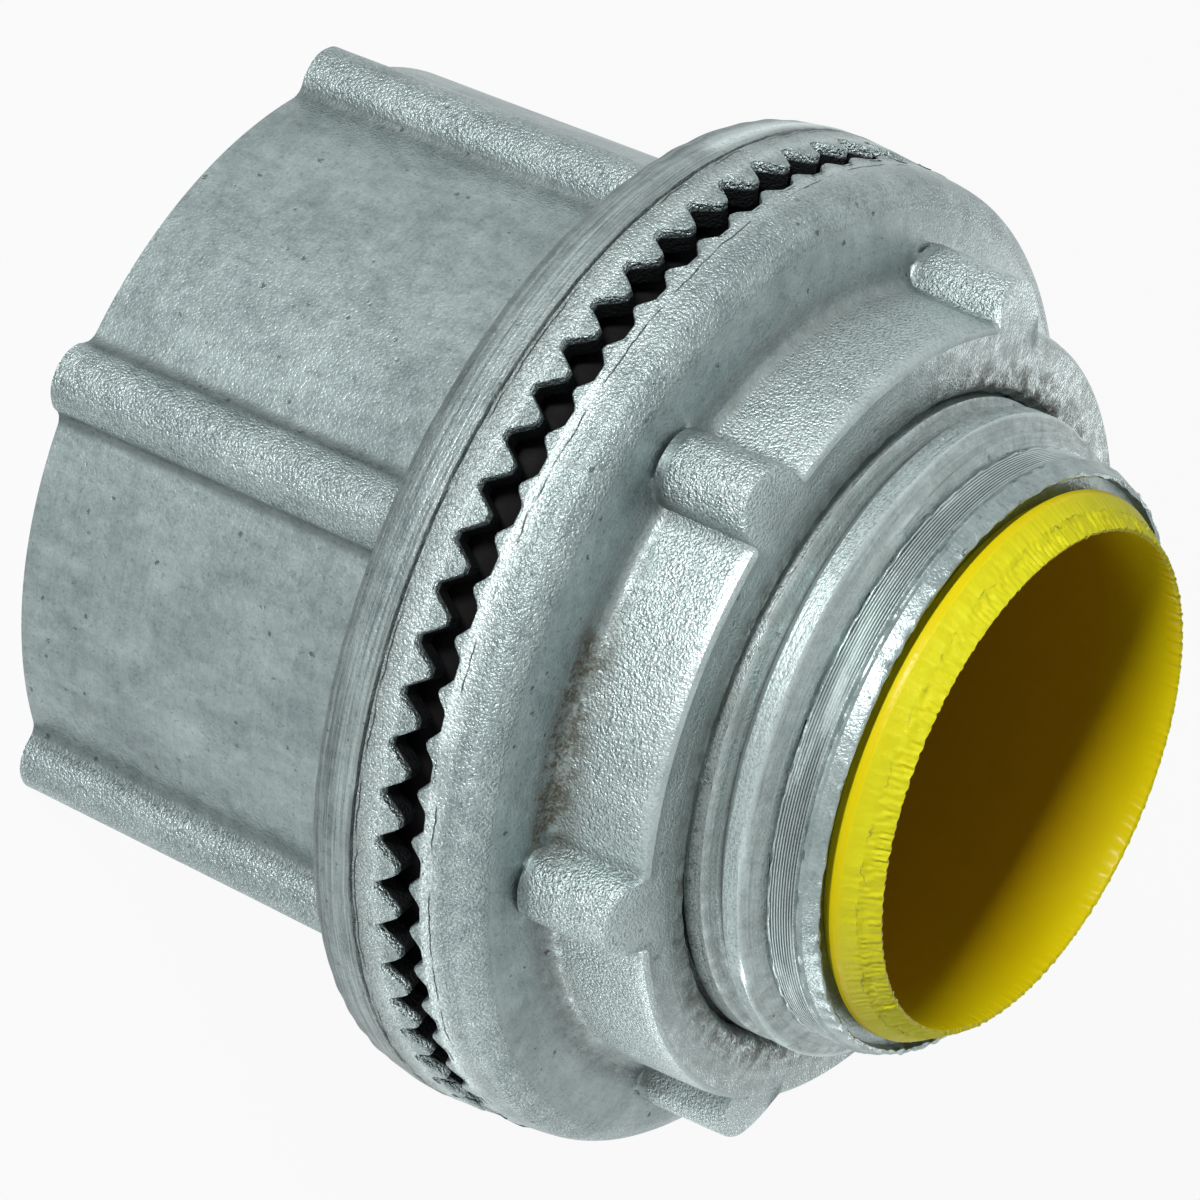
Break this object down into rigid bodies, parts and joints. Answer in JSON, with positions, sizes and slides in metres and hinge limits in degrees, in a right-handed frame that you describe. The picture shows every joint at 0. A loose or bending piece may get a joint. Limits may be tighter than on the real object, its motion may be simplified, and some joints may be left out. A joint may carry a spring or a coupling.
{
  "type": "conduit hub",
  "caption": "Raintight conduit hub: ribbed zinc body with a serrated flange, sealing ring, lugged lock nut on the threaded nose, and a yellow insulated throat.",
  "frame": {"origin": "centre of the conduit end's face, which is the bottom centre of the bounding box", "axes": "+Z along the passage, from the conduit end to the throat; +X lies midway between two ribs, the first of which is 30 degrees from it towards +Y"},
  "size_m": [0.0414, 0.0414, 0.0369],
  "materials": {
    "body_zinc": "as-cast zinc, dull satin with brushed bands",
    "nut_zinc": "as-cast zinc, satin",
    "seal_rubber": "matte black",
    "throat_plastic": "glossy moulded yellow"
  },
  "bodies": {
    "casting": {"hub_body": "body_zinc", "throat_liner": "throat_plastic"},
    "seal": {"sealing_ring": "seal_rubber"},
    "nut": {"lock_nut": "nut_zinc"}
  },
  "joints": [
    {"name": "nut_turn", "type": "hinge", "parent": "casting", "child": "seal", "pos_m": [0, 0, 0.02], "axis": [0, 0, 1], "range_deg": [-88, 1720]},
    {"name": "nut_travel", "type": "slide", "parent": "seal", "child": "nut", "axis": [0, 0, 1], "range_m": [-0.00045, 0.0087]}
  ],
  "couplings": [
    {"joint": "nut_travel", "follows": "nut_turn", "m_per_rad": 0.00028875}
  ]
}
